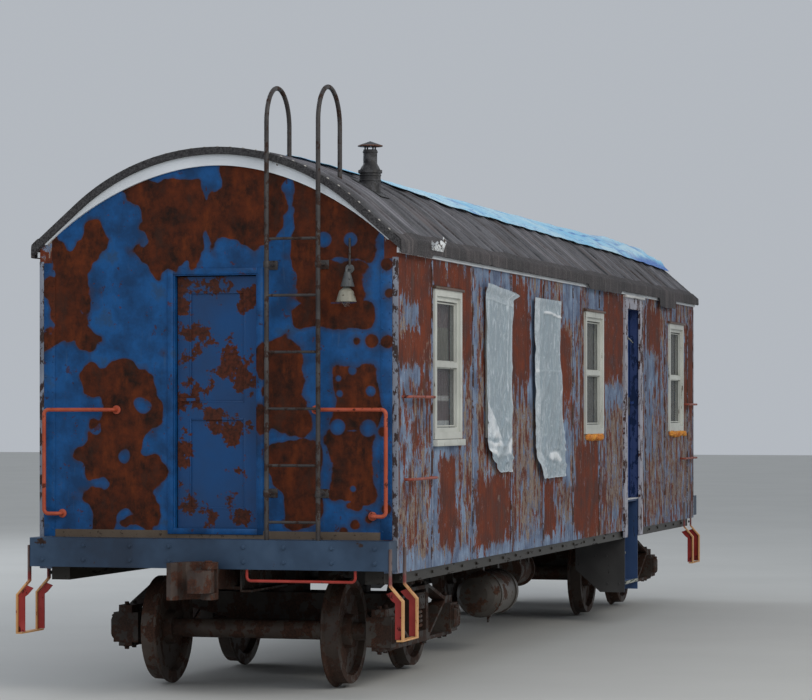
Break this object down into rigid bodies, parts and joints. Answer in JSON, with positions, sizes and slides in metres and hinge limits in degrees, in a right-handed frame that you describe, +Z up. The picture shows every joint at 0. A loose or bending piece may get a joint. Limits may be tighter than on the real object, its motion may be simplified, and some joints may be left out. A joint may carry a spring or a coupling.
{
  "type": "dynamometer car",
  "caption": "Old wooden railway test car with an arched roof, side stair doors and end doors, on two four-wheel arch-bar bogies.",
  "frame": {"origin": "midway between the ends and the sides, at the height of the wheel flanges' tips", "axes": "+X runs along the car from the A end to the B end, -Y is the side shown in the picture, +Z is up"},
  "size_m": [13.644, 3.12, 4.68],
  "materials": {
    "frame_steel": "dull dark paint with rust",
    "sill_steel": "flat olive-grey paint, weathered",
    "end_sill_paint": "flat blue paint, chipped",
    "floor_wood": "worn bare boards",
    "sheathing_wood": "peeling rust-brown paint over grey-blue on boards",
    "end_sheet": "bright blue paint with rust patches",
    "roof_covering": "dull tarred covering",
    "trim_wood": "pale weathered paint",
    "window_paint": "off-white paint",
    "window_glass": "dusty glass",
    "plastic_sheet": "crumpled clear sheet",
    "tarp_cloth": "light blue woven sheet",
    "door_trim": "weathered off-white paint, blue reveals",
    "door_paint": "worn maroon paint",
    "end_door_paint": "blue paint with rust",
    "stair_paint": "blue paint with rust and moss",
    "hinge_steel": "dull bare steel",
    "grab_iron_paint": "worn rusty red paint",
    "ladder_steel": "worn pale paint with rust",
    "lamp_metal": "dark rusty enamel",
    "jack_metal": "rusty sheet metal",
    "step_paint": "red paint with worn edges",
    "tank_steel": "dull dark paint",
    "cast_running_gear": "rusty casting",
    "bogie_steel": "dark rust",
    "spring_steel": "dull rusty steel",
    "wheel_steel": "rusty wheel with a worn tread",
    "coupler_iron": "rusty casting"
  },
  "bodies": {
    "car": {"centre_sills": "frame_steel", "cross_bearers": "frame_steel", "body_bolsters": "frame_steel", "side_sills": "sill_steel", "end_sill_a": "end_sill_paint", "end_sill_b": "end_sill_paint", "floor": "floor_wood", "trap_plates": "stair_paint", "side_wall_left": "sheathing_wood", "side_wall_right": "sheathing_wood", "end_wall_a": "end_sheet", "end_wall_b": "end_sheet", "roof": "roof_covering", "roof_trim": "trim_wood", "window_frames_left": "window_paint", "window_frames_right": "window_paint", "window_glass": "window_glass", "plastic_covers": "plastic_sheet", "tarp": "tarp_cloth", "door_frame_left": "door_trim", "door_frame_right": "door_trim", "stair_left": "stair_paint", "stair_right": "stair_paint", "end_door_hinges": "hinge_steel", "side_grab_irons": "grab_iron_paint", "end_handrails": "grab_iron_paint", "end_ladder": "ladder_steel", "lamp": "lamp_metal", "smoke_jack": "jack_metal", "stirrup_steps": "step_paint", "uncoupling_levers": "step_paint", "air_reservoir": "tank_steel", "brake_cylinder": "cast_running_gear"},
    "bogie_a": {"bogie_frame_a": "bogie_steel", "bogie_bolster_a": "bogie_steel", "bogie_springs_a": "spring_steel", "axle_boxes_a": "cast_running_gear", "bogie_brakes_a": "cast_running_gear"},
    "wheelset_a1": {"wheelset_a1": "wheel_steel"},
    "wheelset_a2": {"wheelset_a2": "wheel_steel"},
    "coupler_a": {"coupler_a": "coupler_iron"},
    "knuckle_a": {"knuckle_a": "coupler_iron"},
    "bogie_b": {"bogie_frame_b": "bogie_steel", "bogie_bolster_b": "bogie_steel", "bogie_springs_b": "spring_steel", "axle_boxes_b": "cast_running_gear", "bogie_brakes_b": "cast_running_gear"},
    "wheelset_b1": {"wheelset_b1": "wheel_steel"},
    "wheelset_b2": {"wheelset_b2": "wheel_steel"},
    "coupler_b": {"coupler_b": "coupler_iron"},
    "knuckle_b": {"knuckle_b": "coupler_iron"},
    "side_door_left": {"door_leaf_left": "door_paint"},
    "side_door_right": {"door_leaf_right": "door_paint"},
    "end_door_a": {"end_door_a": "end_door_paint"},
    "end_door_b": {"end_door_b": "end_door_paint"}
  },
  "joints": [
    {"name": "bogie_a_swivel", "type": "hinge", "parent": "car", "child": "bogie_a", "pos_m": [-4.37, 0, 0.7], "axis": [0, 0, 1], "range_deg": [-6, 6]},
    {"name": "wheelset_a1_spin", "type": "hinge", "parent": "bogie_a", "child": "wheelset_a1", "pos_m": [-5.27, 0, 0.447], "axis": [0, 1, 0], "continuous": true},
    {"name": "wheelset_a2_spin", "type": "hinge", "parent": "bogie_a", "child": "wheelset_a2", "pos_m": [-3.47, 0, 0.447], "axis": [0, 1, 0], "continuous": true},
    {"name": "coupler_a_swing", "type": "hinge", "parent": "car", "child": "coupler_a", "pos_m": [-5.8, 0, 0.904], "axis": [0, 0, 1], "range_deg": [-6, 6]},
    {"name": "knuckle_a_open", "type": "hinge", "parent": "coupler_a", "child": "knuckle_a", "pos_m": [-6.65, -0.095, 0.904], "axis": [0, 0, 1], "range_deg": [0, 45]},
    {"name": "end_door_a_hinge", "type": "hinge", "parent": "car", "child": "end_door_a", "pos_m": [-6.121, -0.3225, 2.25], "axis": [0, 0, -1], "range_deg": [0, 90]},
    {"name": "bogie_b_swivel", "type": "hinge", "parent": "car", "child": "bogie_b", "pos_m": [4.37, 0, 0.7], "axis": [0, 0, 1], "range_deg": [-6, 6]},
    {"name": "wheelset_b1_spin", "type": "hinge", "parent": "bogie_b", "child": "wheelset_b1", "pos_m": [3.47, 0, 0.447], "axis": [0, 1, 0], "continuous": true},
    {"name": "wheelset_b2_spin", "type": "hinge", "parent": "bogie_b", "child": "wheelset_b2", "pos_m": [5.27, 0, 0.447], "axis": [0, 1, 0], "continuous": true},
    {"name": "coupler_b_swing", "type": "hinge", "parent": "car", "child": "coupler_b", "pos_m": [5.8, 0, 0.904], "axis": [0, 0, 1], "range_deg": [-6, 6]},
    {"name": "knuckle_b_open", "type": "hinge", "parent": "coupler_b", "child": "knuckle_b", "pos_m": [6.65, 0.095, 0.904], "axis": [0, 0, 1], "range_deg": [0, 45]},
    {"name": "end_door_b_hinge", "type": "hinge", "parent": "car", "child": "end_door_b", "pos_m": [6.121, -0.3225, 2.25], "axis": [0, 0, 1], "range_deg": [0, 90]},
    {"name": "side_door_left_hinge", "type": "hinge", "parent": "car", "child": "side_door_left", "pos_m": [2.3625, -1.301, 2.25], "axis": [0, 0, 1], "range_deg": [0, 90]},
    {"name": "side_door_right_hinge", "type": "hinge", "parent": "car", "child": "side_door_right", "pos_m": [2.3625, 1.301, 2.25], "axis": [0, 0, -1], "range_deg": [0, 90]}
  ]
}
